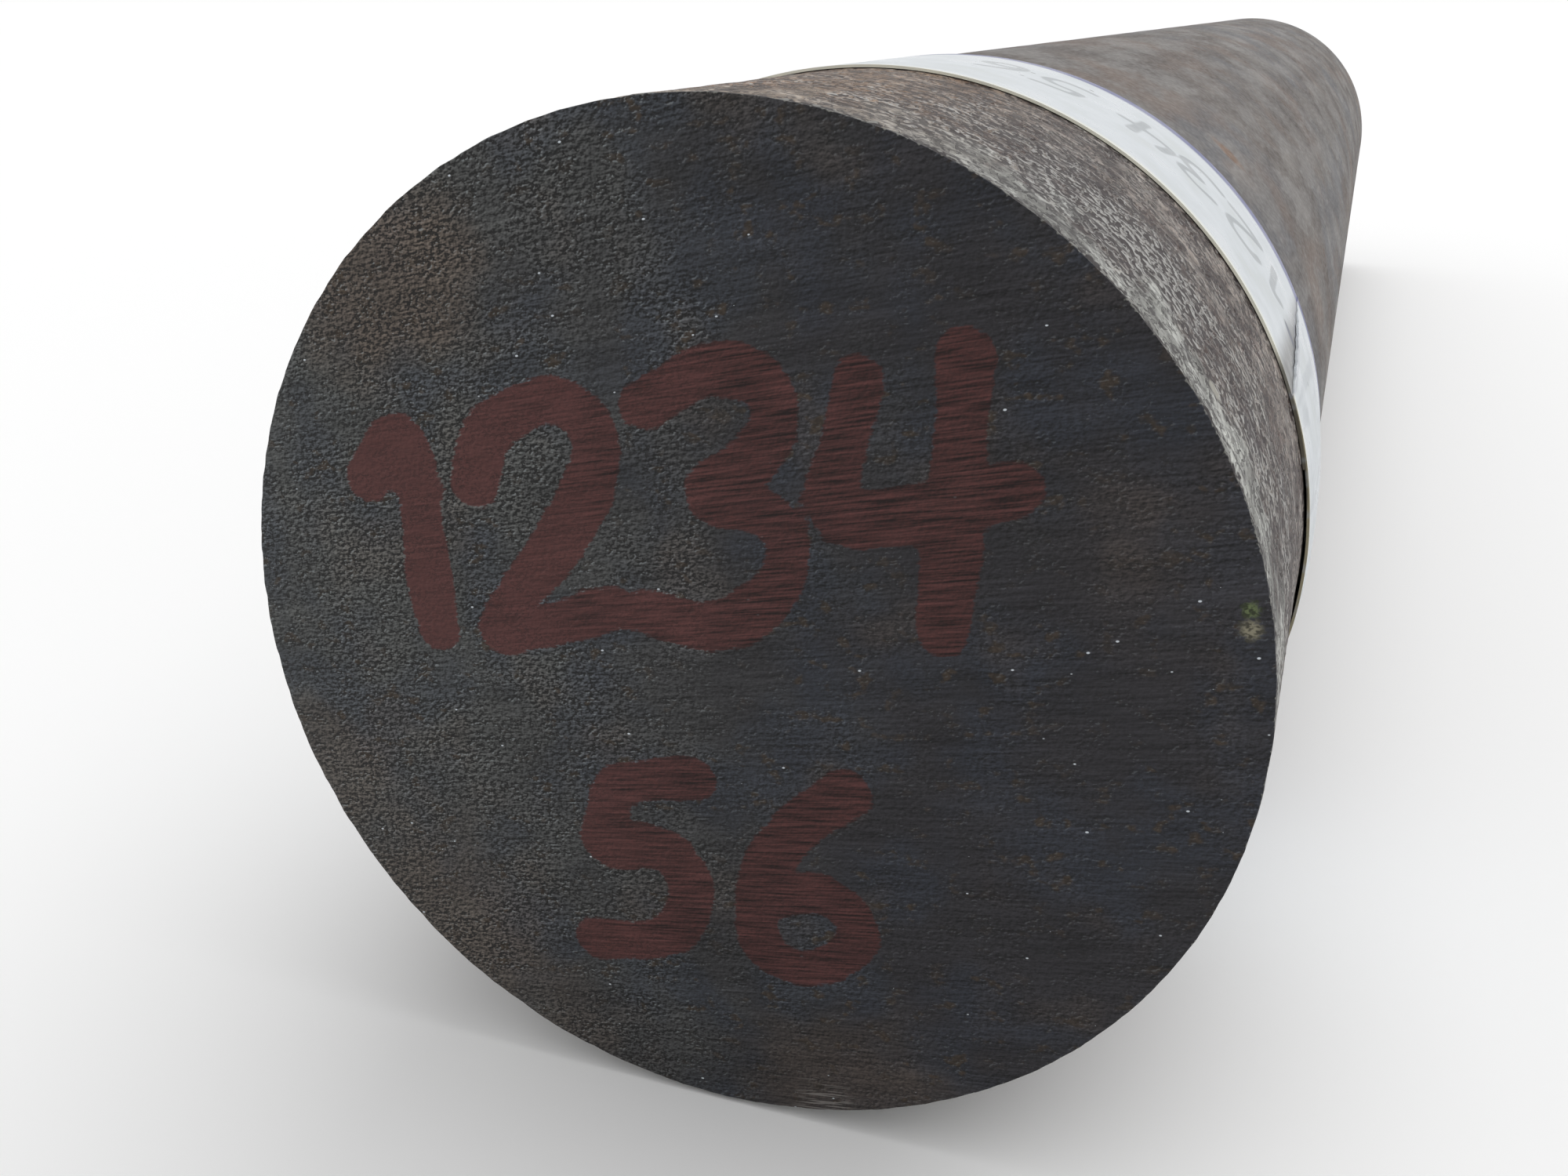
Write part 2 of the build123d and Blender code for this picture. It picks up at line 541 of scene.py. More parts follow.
def sawn_end_material(settings):
    """Dark oxide on a saw cut, with saw marks, grain, stains, pits, painted glints, painted light and shade on
    its crumbs, and paint.
    """
    material, r, shader, place = new_material("sawn_end")
    x, _, z = r.split(place)
    saw = saw_marks(r, place, settings.kerf_tilt, settings.kerf_pitch / MM)
    drawn = r.join(r.times(saw["Along"], 0.7), saw["Across"])
    height, relief = crust(r, drawn, 0.19, (-0.12, 0.3, 0))
    flat = r.join(x, z)
    cloud = r.clouds(flat, 0.16, 2.0)
    pocks = r.noise(drawn, 1.1, 2.0, 0.6, flat=True)

    # Grainy and pale on the left, smoother and darker towards the right.
    left = r.rise(r.less(r.about(cloud[0], 0.5, 26.0), x), -14.0, 22.0)
    tone = r.mix(left, settings.sawn_dark, settings.sawn_pale)
    tone = r.mix(r.rise(cloud[1], 0.42, 0.66, 0.0, 0.45), tone, settings.sawn_blue)
    tone = r.mix(r.rise(cloud[2], 0.54, 0.74, 0.0, 0.22), tone, settings.sawn_brown)
    for centre_x, centre_z, reach, strength in STAINS:
        stain = patch(r, place, (centre_x, 0, centre_z), reach, cloud[1])
        tone = r.tint(tone, stain, strength, settings.sawn_brown)

    # Light and dark, about a level of one: grain, saw marks and bands, painted light and shade on the crumbs, and
    # darker towards the upper right.
    grainy = r.times(r.rise(left, 0.0, 0.9, 0.55, 1.4), r.rise(cloud[2], 0.3, 0.62, 0.65, 1.15))
    lines, hairs = (r.less(saw[name], 0.5) for name in ("Lines", "Hairs"))
    level = r.total(1.0, r.times(relief, grainy, 2.2), r.times(r.about(height, 0.5, 1.9), grainy),
                    r.times(lines, 1.05), r.times(hairs, 0.5), r.about(saw["Bands"], 0.5, 0.6),
                    r.rise(r.total(z, r.times(x, 0.6)), 12.0, 26.0, 0.0, -0.12))
    metal = r.lit(tone, level, 0.2)
    pits = r.times(r.vein(height, 0.42, 0.06, 0.02), r.rise(pocks, 0.38, 0.52), grainy)
    metal = r.tint(metal, pits, 0.9, chip(24, 23, 23))
    rust = r.times(r.rise(pocks, 0.6, 0.73), r.rise(cloud[1], 0.35, 0.6, 0.2, 0.75))
    metal = r.mix(rust, metal, r.lit(settings.rust[:3], r.rise(height, 0.3, 0.7, 0.5, 1.0), 0.0))
    # Painted highlights on the lit sides of the crumbs, thickest on the left.
    curls_and_highlights = r.times(r.rise(relief, 0.12, 0.2), r.rise(left, 0.1, 0.8, 0.25, 1.0), r.rise(pocks, 0.5, 0.6))
    metal = r.tint(metal, curls_and_highlights, 0.6, chip(124, 130, 132))
    # Painted glints: tiny bright specks of reflected light.
    glints = flecks(r, r.join(r.times(saw["Along"], 0.6), 0.0, saw["Across"]), 0.7, 0.06, 0.45)
    metal = r.mix(glints, metal, chip(190, 196, 202))
    for centre_x, centre_z, reach, shade in DEBRIS:
        crumb = patch(r, place, (centre_x, 0, centre_z), reach, height)
        metal = r.mix(crumb, metal, r.lit(shade[:3], r.rise(height, 0.35, 0.6, 0.3, 1.3), 0.0))

    # Bare metal where the rim is nicked, and torn by the end of the cut.
    radius = r.vector("LENGTH", flat)
    nicks = r.noise(r.join(r.times(r.math("ARCTAN2", x, z), RADIUS), radius), 4.0, 1.0, flat=True)
    rubbed = r.rise(r.total(radius, r.about(nicks, 0.5, 0.5)), 25.34, 25.42)
    metal = r.tint(metal, rubbed, 0.6, chip(132, 132, 126))
    torn = patch(r, place, (6.0, 0, -24.4), 2.0, saw["Lines"])
    metal = r.tint(metal, torn, r.rise(hairs, 0.0, 0.12, 0.0, 0.5), chip(134, 130, 126))

    # Paint, flat on the left, with the grooves of the saw cut showing through it towards the right.
    edge = r.total(r.about(cloud[1], 0.5, 1.0), r.about(height, 0.5, 0.25), r.times(lines, 0.3))
    painted = r.rise(r.total(pen_distance(r), edge), PEN_WIDTH / 2 + 0.07, PEN_WIDTH / 2 - 0.07)
    grooves = r.total(r.times(lines, 1.5), r.times(hairs, 0.9))
    # The paint's level: lighter on the left, darker in the saw grooves towards the right, grain, and painted
    # light and shade on the crumbs.
    shade = r.total(r.rise(left, 0.1, 1.0, 0.6, 0.97), r.times(grooves, r.rise(left, 0.4, 1.0, 1.0, 0.25)),
                    r.about(height, 0.5, 0.35), r.times(relief, 0.5))
    coat = r.tint(r.lit(settings.paint[:3], shade, 0.12), pits, 0.3, chip(30, 20, 20))
    bumps = r.total(r.times(height, r.rise(grainy, 0.1, 1.0, 0.15, 0.6)), r.times(saw["Lines"], 0.4))
    dress(r, shader, r.tint(metal, painted, 0.94, coat), bumps, 0.014 * MM,
          r.rise(height, 0.3, 0.7, 0.42, 0.62), 0.2)
    return material


def far_end_material(settings):
    """The other saw cut, with the same oxide and no marks."""
    material, r, shader, place = new_material("far_end")
    saw = saw_marks(r, place, FAR_TILT, 0.5)
    x, _, z = r.split(place)
    height, relief = crust(r, r.join(x, z), 0.3, (0.1, 0.4, 0))
    tone = r.mix(r.rise(r.noise(place, 0.12), 0.35, 0.65), settings.sawn_dark, settings.sawn_brown)
    # Light and dark: saw lines and bands, and painted light and shade on the crumbs.
    level = r.total(0.95, r.about(saw["Lines"], 0.5, 1.4), r.times(relief, 3.0), r.about(saw["Bands"], 0.5, 0.8))
    metal = r.tint(r.lit(tone, level, 0.2), flecks(r, place, 4.2, 0.2, 0.5), 0.6, settings.rust)
    dress(r, shader, metal, r.total(saw["Lines"], height), 0.03 * MM, r.rise(height, 0.3, 0.7, 0.42, 0.62), 0.2)
    return material


def mill_scale_material(settings):
    """Hot-rolled scale: a pale crust by the sawn end, crumbs, flakes, and smoother scale past the tape."""
    material, r, shader, place = new_material("mill_scale")
    x, y, z = r.split(place)
    # Millimetres round the bar, from its top line, with the seam on its underside.
    run = r.times(r.math("ARCTAN2", x, z), RADIUS)
    height, relief = crust(r, r.join(r.times(run, 0.8), r.times(y, 0.6)), 0.38, (-0.1, -0.4, 0))
    near = r.rise(y, TAPE_FAR, TAPE_NEAR)
    skin = r.join(run, y)
    cloud = r.clouds(skin, 0.28, 2.5)
    blotch = r.clouds(r.join(run, r.times(y, 0.36)), 0.2, 4.0)
    spread = r.clouds(r.join(run, r.times(y, 0.45)), 0.075, 3.0)
    streaks = r.noise(r.join(run, r.times(y, 0.6)), 1.4, 2.0, 0.6, flat=True)
    islands = r.noise(skin, 0.65, 2.0, 0.55, flat=True)
    wander = r.noise(r.join(r.times(run, 0.3), y), 0.55, 1.0, flat=True)

    # Three belts from the sawn end: crust, crumbs and flakes.
    belt = r.less(y, r.about(cloud[2], 0.5, 12.0))
    collar = r.rise(belt, 5.6, 3.0)
    flaked = r.times(r.rise(belt, 11.0, 17.0), near)
    tone = r.mix(r.rise(cloud[0], 0.42, 0.56), settings.scale_brown, settings.scale_grey)
    tone = r.mix(r.rise(cloud[1], 0.5, 0.7, 0.0, 0.4), tone, chip(88, 93, 98))
    tone = r.mix(flaked, tone, r.mix(r.rise(cloud[1], 0.44, 0.56), chip(102, 89, 82), chip(152, 143, 135)))
    tone = r.mix(collar, tone, r.mix(r.rise(cloud[0], 0.4, 0.6), chip(166, 168, 162), chip(204, 206, 200)))
    bare = patch(r, place, on_side(47, 9.0), 6.0, streaks)
    tone = r.tint(tone, bare, 0.6, chip(146, 146, 142))
    # Smoother scale past the tape, in grey, blue, brown and pale clouds.
    past = r.mix(r.rise(blotch[0], 0.38, 0.62), chip(122, 115, 108), chip(152, 148, 142))
    for noise, low, high, shade in ((spread[0], 0.46, 0.62, chip(138, 142, 146)),
                                    (spread[1], 0.48, 0.64, chip(154, 138, 126)),
                                    (blotch[2], 0.46, 0.6, chip(172, 170, 166))):
        past = r.mix(r.rise(noise, low, high, 0.0, 0.7), past, shade)
    tone = r.mix(r.less(1.0, near), tone, past)
    warm = r.rise(r.less(z, r.times(x, 0.5)), 15.0, 25.0)
    tone = r.tint(tone, r.times(warm, near), 0.65, chip(164, 134, 104))
    for angle, along, reach in SIDE_RUST:
        tone = r.tint(tone, patch(r, place, on_side(angle, along), reach, blotch[1]), 0.7, chip(168, 126, 90))

    # Light and dark, about a level of one: painted light and shade on the crumbs, grain, streaks and clouds,
    # lighter from 15 mm round from the top line, and lighter flake islands. Crumbs stand in clusters.
    crumbs = r.times(r.less(1.0, r.larger(r.times(collar, 0.6), r.times(flaked, 0.5))),
                     r.rise(near, 0.0, 1.0, 0.05, 1.0))
    clusters = r.larger(r.times(r.rise(cloud[0], 0.4, 0.56), r.rise(islands, 0.42, 0.56, 0.3, 1.0)), bare)
    crumbs = r.times(crumbs, r.rise(clusters, 0.0, 1.0, 0.4, 1.0))
    level = r.total(1.0, r.times(relief, crumbs, 7.0), r.times(r.about(height, 0.5, 2.2), crumbs),
                    r.times(r.about(streaks, 0.5, 1.8), r.rise(near, 0.0, 1.0, 0.2, 1.0)),
                    r.times(r.total(r.about(cloud[1], 0.5, 1.5), r.about(islands, 0.5, 1.3)), near),
                    r.times(r.rise(run, 15.0, 24.0, 0.0, 0.14), near), r.about(blotch[1], 0.5, 1.2),
                    r.times(r.rise(islands, 0.555, 0.575, 0.0, 0.4), flaked))
    # Painted shade over a stretch of the side, then dark cracks and flake outlines, with painted highlights
    # beside the cracks.
    for noise, line, wide, core, most, where in (
            (run, 13.0, 10.0, 5.0, -0.16, near), (streaks, 0.46, 0.045, 0.015, -0.7, near),
            (streaks, 0.52, 0.026, 0.01, 0.5, near), (islands, 0.55, 0.035, 0.01, -0.75, flaked),
            (wander, 0.42, 0.025, 0.008, -0.45, near)):
        level = r.total(level, r.times(r.vein(noise, line, wide, core, most), where))
    metal = r.lit(tone, level, 0.25)
    hollows = r.times(r.rise(height, 0.485, 0.425), crumbs)
    metal = r.tint(metal, hollows, 0.85, chip(50, 43, 40))
    # Pale curls round the crumbs and painted highlights on their lit sides, thick in clusters, and a few long
    # pale threads.
    curls_and_highlights = r.larger(r.times(r.vein(height, 0.56, 0.06, 0.02), 0.75), r.rise(relief, 0.1, 0.18))
    metal = r.tint(metal, curls_and_highlights, crumbs, chip(240, 240, 236))
    threads = r.times(r.vein(wander, 0.52, 0.02, 0.007), flaked, r.rise(cloud[0], 0.45, 0.55))
    metal = r.tint(metal, threads, 0.75, chip(186, 180, 172))
    metal = r.mix(patch(r, place, on_side(32.9, 3.9), 0.6, height), metal, chip(222, 220, 206))
    rust = r.times(flecks(r, place, 8.0, 0.14, 0.3), r.rise(height, 0.35, 0.6))
    metal = r.tint(metal, rust, 0.6, chip(142, 108, 82))
    # Nicks and specks along the rim, and the shade on each side of the tape.
    lip = r.rise(r.less(y, r.about(streaks, 0.5, 2.4)), 0.5, 0.25)
    metal = r.mix(lip, metal, r.mix(r.rise(height, 0.5, 0.62), chip(58, 56, 54), chip(190, 190, 184)))
    beside = r.larger(r.rise(y, TAPE_NEAR - 0.6, TAPE_NEAR - 0.1), r.rise(y, TAPE_FAR + 1.2, TAPE_FAR + 0.1))
    metal = r.tint(metal, beside, 0.6, chip(56, 50, 52))
    bumps = r.total(r.times(height, crumbs), r.times(islands, r.rise(near, 0.0, 1.0, 0.1, 0.5)))
    dress(r, shader, metal, bumps, 0.06 * MM, r.rise(height, 0.3, 0.7, 0.5, 0.75), 0.08)
    return material


def tape_material(settings):
    """White label tape with hand-written grey digits, a cream cut edge, a little dirt, and painted light and
    shade by its lap and edges.
    """
    material, r, shader, place = new_material("label_tape")
    x, y, z = r.split(place)
    dirt = r.noise(place, 0.3, 3.0)
    ink = r.rise(r.total(pen_distance(r), r.about(dirt, 0.5, 0.5)), 0.5, 0.24)
    tone = r.mix(r.rise(dirt, 0.45, 0.8, 0.0, 0.5), settings.white, chip(186, 190, 186))
    tone = r.tint(tone, ink, 0.9, settings.ink)
    # Painted light: the near cut edge, which lies in shade, is made pale.
    tone = r.mix(r.rise(y, TAPE_NEAR + 0.06, TAPE_NEAR + 0.02), tone, chip(244, 242, 228))
    tone = r.tint(tone, flecks(r, place, 3.0, 0.06, 0.3), 0.8, chip(60, 58, 60))
    tone = r.tint(tone, r.rise(y, TAPE_NEAR + 1.0, TAPE_NEAR), 0.6, settings.cream)

    angle = r.math("ARCTAN2", z, x)

    def turned(low, high):
        """Rises from 0 to 1 between two angles in degrees from +X towards the top."""
        return r.rise(angle, radians(low), radians(high))

    # Olive on the loose run's cut edge and on its underside.
    away = r.join(x, 0.0, z)
    outward = r.vector("DOT_PRODUCT", r.node("ShaderNodeNewGeometry").outputs["Normal"],
                       r.vector("NORMALIZE", away))
    olive_underside = r.larger(r.rise(outward, 0.0, -0.4),
                   r.times(r.rise(y, TAPE_NEAR + 0.2, TAPE_NEAR + 0.02), turned(23, 18)))
    tone = r.tint(tone, olive_underside, 0.85, chip(120, 110, 78))
    # The layer under the lap, in the lap's shade.
    top = RADIUS + TAPE_THICKNESS / MM
    under = r.times(r.rise(r.vector("LENGTH", away), top + 0.02, top - 0.02), turned(28, 24), turned(5, 9))
    tone = r.tint(tone, under, 0.8, chip(52, 46, 40))
    # Painted shade along the line of the tear.
    run = r.times(angle, RADIUS)
    torn = r.less(run, r.rise(y, TAPE_NEAR, TAPE_FAR, radians(21) * RADIUS, radians(26) * RADIUS))
    tear_shade = r.vein(r.total(torn, r.about(dirt, 0.5, 0.5)), 0.0, 0.24, 0.06)
    tone = r.tint(tone, tear_shade, 0.45, chip(140, 142, 152))
    # Painted shadow in a pucker where the torn end starts, and faint streaks of painted shade from wrinkles below
    # it.
    unrolled = r.join(run, r.times(y, 0.45))
    pucker_shadow = r.vector("LENGTH", r.vector("MULTIPLY", r.vector("SUBTRACT", unrolled, (11.2, 14.25, 0.0)),
                                         (0.6, 2.4, 0.0)))
    pucker_shadow = r.rise(r.total(pucker_shadow, r.about(dirt, 0.5, 1.4)), 0.8, 0.55)
    tone = r.tint(tone, pucker_shadow, 0.85, chip(52, 58, 84))
    wrinkle_shade = r.noise(r.vector("MULTIPLY", unrolled, (1.0, 0.3, 1.0)), 0.9, 2.0, flat=True)
    wrinkle_shade = r.times(r.rise(wrinkle_shade, 0.5, 0.68), turned(24, 20), turned(-20, 5))
    tone = r.tint(tone, wrinkle_shade, 0.5, chip(160, 166, 172))
    # A dark blue band along the far edge: painted shadow with a blue fringe, which also loses its gloss.
    blue = r.rise(y, TAPE_FAR - 1.9, TAPE_FAR - 1.1)
    dress(r, shader, r.tint(tone, blue, 0.85, chip(84, 86, 136)), r.noise(place, 0.9), 0.04 * MM,
          r.rise(dirt, 0.3, 0.7, 0.25, 0.42), r.rise(blue, 0.0, 0.8, 0.5, 0.05))
    return material


# ---- Pieces ----

RIM_BREAK = 0.12 * MM
# Rings round the side: the first and last stand this far in from the ends, then how many there are from the first
# to the tape, under the tape, and past it.
END_RING = 0.6 * MM
RINGS = (68, 5, 70)
# Strips across the sawn ends: their widths over and along the saw marks, and the rim that is left alone.
MARKED_STRIPS = (0.14 * MM, 0.7 * MM)
FAR_STRIPS = (0.5 * MM, 2.0 * MM)
UNCUT_RIM = 0.3 * MM
# Nicks reach this far in from the rims, across the ends and along the side.
RIM_WIDTH = 0.25 * MM
RIM_DEPTH = 0.4 * MM
END_SKIN = 0.02 * MM
# The tape's first strip, its rows and the steps in which it is spun: seated, loose and stuck down again.
FIRST_STRIP = 0.3 * MM
TAPE_ROWS = 56
SEATED_STEPS, LOOSE_STEPS, STUCK_STEPS = 340, 110, 12
TAPE_BODY = 0.75  # share of the tape's thickness that is left to it, so that its ripples have room


def near_end(face):
    return face.normal.y < -0.9


def far_end(face):
    return face.normal.y > 0.9


def radius_of(co):
    return hypot(co.x, co.z)


class MESH_OT_sawn_bar(Operator):
    """Build the sawn round bar in place of its plain solid"""

    bl_idname = "mesh.sawn_bar"
    bl_label = "Sawn Bar"

    def execute(self, context):
        settings = context.scene.bar_settings
        bar = self.turned_blank(settings)
        self.cut_ends(bar, settings)
        self.cut_round(bar)
        self.relief(bar, settings)
        self.finish(bar, settings)
        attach(bar, "root")
        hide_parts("bar")
        return {"FINISHED"}

    def turned_blank(self, settings):
        """A plain round with a narrow rim bevel at each end."""
        put_down()
        bpy.ops.mesh.primitive_cylinder_add(vertices=settings.sides, radius=BAR_RADIUS, depth=BAR_LENGTH,
                                            end_fill_type="NGON", location=(0, BAR_LENGTH / 2, 0),
                                            rotation=(pi / 2, 0, 0))
        bar = name_piece("steel_bar")
        select_parts(bar, "FACE", lambda face: near_end(face) or far_end(face))
        bpy.ops.mesh.bevel(offset=RIM_BREAK, segments=2, affect="EDGES")
        return bar

    def cut_round(self, bar):
        """Rings along the side: close together near the marked end, and further apart behind the tape."""
        places = (END_RING, TAPE_LOW.y, TAPE_HIGH.y, BAR_LENGTH - END_RING)
        for place in places:
            select_parts(bar, "FACE", lambda face: abs(face.normal.y) < 0.1)
            bpy.ops.mesh.bisect(plane_co=(0, place, 0), plane_no=(0, 1, 0))
        for low, high, cuts in zip(places, places[1:], RINGS):
            select_parts(bar, "EDGE", lambda edge: self.runs_along(bar.data, edge, (low + high) / 2, high - low))
            bpy.ops.mesh.subdivide_edgering(number_cuts=cuts, interpolation="LINEAR", smoothness=0)
        bpy.ops.object.mode_set(mode="OBJECT")

    def runs_along(self, mesh, edge, middle, reach):
        first, last = (mesh.vertices[index].co.y for index in edge.vertices)
        return abs((first + last) / 2 - middle) < 0.01 * MM and abs(abs(first - last) - reach) < 0.01 * MM

    def cut_ends(self, bar, settings):
        """Strips across each sawn end, along its saw marks."""
        pick_up(bar)
        bpy.ops.object.mode_set(mode="EDIT")
        bpy.ops.mesh.select_mode(type="FACE")
        for facing, tilt, strips in ((-1, settings.kerf_tilt, MARKED_STRIPS), (1, FAR_TILT, FAR_STRIPS)):
            across = Vector((-sin(tilt), 0, cos(tilt)))
            along = Vector((cos(tilt), 0, sin(tilt)))
            for direction, step in zip((across, along), strips):
                slice_end(bar, facing, direction, step, BAR_RADIUS - UNCUT_RIM)
        bpy.ops.object.mode_set(mode="OBJECT")

    def relief(self, bar, settings):
        """Saw marks on the ends, scale and pits on the round, and nicks in the rim."""
        inner = BAR_RADIUS - RIM_WIDTH
        marked = vertex_group(bar, "marked_cut", lambda co: co.y < END_SKIN and radius_of(co) < inner)
        far = vertex_group(bar, "far_cut", lambda co: co.y > BAR_LENGTH - END_SKIN and radius_of(co) < inner)
        side = vertex_group(bar, "round", lambda co: min(max((co.y / MM - 0.5) / 2, 0), 1) *
                            min(max(((BAR_LENGTH - co.y) / MM - 0.5) / 2, 0), 1))
        near = vertex_group(bar, "near_round", lambda co: 0.3 * MM < co.y < TAPE_LOW.y)
        rim = vertex_group(bar, "rims", lambda co: radius_of(co) > inner and
                           (co.y < RIM_DEPTH or co.y > BAR_LENGTH - RIM_DEPTH))
        marks = noise_texture("saw_marks", depth=2)
        crumbs = noise_texture("crumbs", depth=3)
        flakes = noise_texture("flakes", depth=4, steps=((0.0, 0.0), (0.46, 0.1), (0.52, 0.8), (1.0, 1.0)))
        pitch, depth = settings.kerf_pitch, settings.kerf_depth
        tilt = -settings.kerf_tilt
        displace(bar, "Saw marks", marks, (6 * MM, 1, pitch), depth, 0.0, "Y", marked, tilt)
        displace(bar, "Saw bands", marks, (25 * MM, 1, 2.4 * MM), depth, 0.0, "Y", marked, tilt)
        displace(bar, "Grain", crumbs, (0.9 * MM, 1, 0.5 * MM), 0.02 * MM, 0.0, "Y", marked, tilt)
        displace(bar, "Far marks", marks, (6 * MM, 1, 1.2 * pitch), -depth, 0.0, "Y", far, -FAR_TILT)
        displace(bar, "Flakes", flakes, (1.6 * MM,) * 3, settings.scale_relief, 1.0, "NORMAL", near)
        displace(bar, "Pits", crumbs, (0.8 * MM,) * 3, settings.scale_relief, 1.0, "NORMAL", near)
        displace(bar, "Rolling", crumbs, (9 * MM,) * 3, 0.05 * MM, 1.0, "NORMAL", side)
        displace(bar, "Nicks", crumbs, (1.1 * MM,) * 3, 0.14 * MM, 1.0, "NORMAL", rim)

    def finish(self, bar, settings):
        places = vertex_places(bar)
        away = np.where(places[:, 1] < 0.3, 0.0, FAR_AWAY)
        write_on(bar, places[:, (0, 2)] + away[:, None], PAINTED)
        pick_up(bar)
        for material in (mill_scale_material(settings), sawn_end_material(settings), far_end_material(settings)):
            bar.data.materials.append(material)
        rim = RIM_BREAK * 1.25
        for face in bar.data.polygons:
            along = face.center.y
            face.material_index = 1 if along < rim else 2 if along > BAR_LENGTH - rim else 0
        bpy.ops.object.shade_smooth_by_angle(angle=radians(35))


class MESH_OT_label_tape(Operator):
    """Wrap the label tape round the bar in place of its plain solid"""

    bl_idname = "mesh.label_tape"
    bl_label = "Label Tape"

    def execute(self, context):
        settings = context.scene.tape_settings
        tape = self.wrap(settings)
        self.shape(tape, settings)
        places = vertex_places(tape)
        run = np.arctan2(places[:, 2], places[:, 0]) * RADIUS
        write_on(tape, np.column_stack((run, WRITTEN_FOOT - places[:, 1])), WRITTEN)
        tape.data.materials.append(tape_material(settings))
        bpy.ops.object.shade_smooth_by_angle(angle=radians(40))
        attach(tape, "root")
        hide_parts("label_tape")
        return {"FINISHED"}

    def wrap(self, settings):
        """A narrow strip at the start of the wrap, spun round the bar, out over the loose run and down."""
        self.middle = BAR_RADIUS + TAPE_THICKNESS / 2
        put_down()
        bpy.ops.mesh.primitive_grid_add(x_subdivisions=1, y_subdivisions=TAPE_ROWS, size=1,
                                        location=(self.middle, TAPE_LOW.y + TAPE_WIDTH / 2, 0),
                                        rotation=(0, -pi / 2, 0))
        tape = bpy.context.object
        tape.scale = (FIRST_STRIP, TAPE_WIDTH, 1)
        tape = name_piece("white_label_tape")
        bpy.ops.object.mode_set(mode="EDIT")
        bpy.ops.mesh.select_all(action="SELECT")
        bpy.ops.transform.rotate(value=settings.start, orient_axis="Y", center_override=(0, 0, 0))
        self.spin_on(tape, (0, 0), 2 * pi - settings.loose_run, SEATED_STEPS)
        loose = settings.start - settings.loose_run
        down = settings.start + settings.overlap - settings.stuck
        centre, turn = self.bow(loose, down, settings.loose_gap)
        self.spin_on(tape, centre, turn, LOOSE_STEPS)
        self.spin_on(tape, (0, 0), settings.stuck, STUCK_STEPS)
        self.tear(tape, settings)
        bpy.ops.object.mode_set(mode="OBJECT")
        return tape

    def tear(self, tape, settings):
        """Cuts the end of the lap on a slant, shorter at the near edge."""
        last = settings.start + settings.overlap
        first = last - settings.slant
        near = Vector((cos(first), TAPE_LOW.y / self.middle, sin(first))) * self.middle
        far = Vector((cos(last), TAPE_HIGH.y / self.middle, sin(last))) * self.middle
        across = Vector((near.x, 0, near.z)).cross(far - near).normalized()
        select_parts(tape, "FACE", lambda face: radius_of(face.center) > self.middle + TAPE_THICKNESS / 2
                     and abs(atan2(face.center.z, face.center.x) - last) < 2 * settings.slant)
        if across.dot(Vector((-sin(last), 0, cos(last)))) <= 0:
            across = -across
        bpy.ops.mesh.bisect(plane_co=near, plane_no=across, clear_outer=True)

    def spin_on(self, tape, centre, turn, steps):
        """Spins the strip's last edge on, anticlockwise as seen from the marked end."""
        last = self.last_edge(tape)
        select_parts(tape, "EDGE", lambda edge: edge.index in last)
        bpy.ops.mesh.spin(steps=steps, angle=turn, center=(centre[0], 0, centre[1]), axis=(0, 1, 0))

    def last_edge(self, tape):
        """The edges across the strip at its newest end."""
        bpy.ops.object.mode_set(mode="OBJECT")
        mesh = tape.data
        faces = {}
        for face in mesh.polygons:
            for key in face.edge_keys:
                faces[key] = faces.get(key, 0) + 1
        open_across = [edge for edge in mesh.edges if faces.get(edge.key, 0) == 1
                       and abs(mesh.vertices[edge.vertices[0]].co.y - mesh.vertices[edge.vertices[1]].co.y)
                       > TAPE_WIDTH / 80]
        newest = max(max(edge.vertices) for edge in open_across)
        tip = mesh.vertices[newest].co
        return {edge.index for edge in open_across
                if hypot(mesh.vertices[edge.vertices[0]].co.x - tip.x,
                         mesh.vertices[edge.vertices[0]].co.z - tip.z) < 0.01 * MM}

    def bow(self, first, last, gap):
        """Centre and turn of the arc that leaves the bar at first, bows out by gap and comes down at last."""
        points = [(self.middle * cos(first), self.middle * sin(first)),
                  ((self.middle + gap) * cos((first + last) / 2), (self.middle + gap) * sin((first + last) / 2)),
                  ((self.middle + TAPE_THICKNESS) * cos(last), (self.middle + TAPE_THICKNESS) * sin(last))]
        (ax, az), (bx, bz), (cx, cz) = points
        d = 2 * (ax * (bz - cz) + bx * (cz - az) + cx * (az - bz))
        squares = [x * x + z * z for x, z in points]
        centre = ((squares[0] * (bz - cz) + squares[1] * (cz - az) + squares[2] * (az - bz)) / d,
                  (squares[0] * (cx - bx) + squares[1] * (ax - cx) + squares[2] * (bx - ax)) / d)
        turn = atan2(cz - centre[1], cx - centre[0]) - atan2(az - centre[1], ax - centre[0])
        return centre, turn

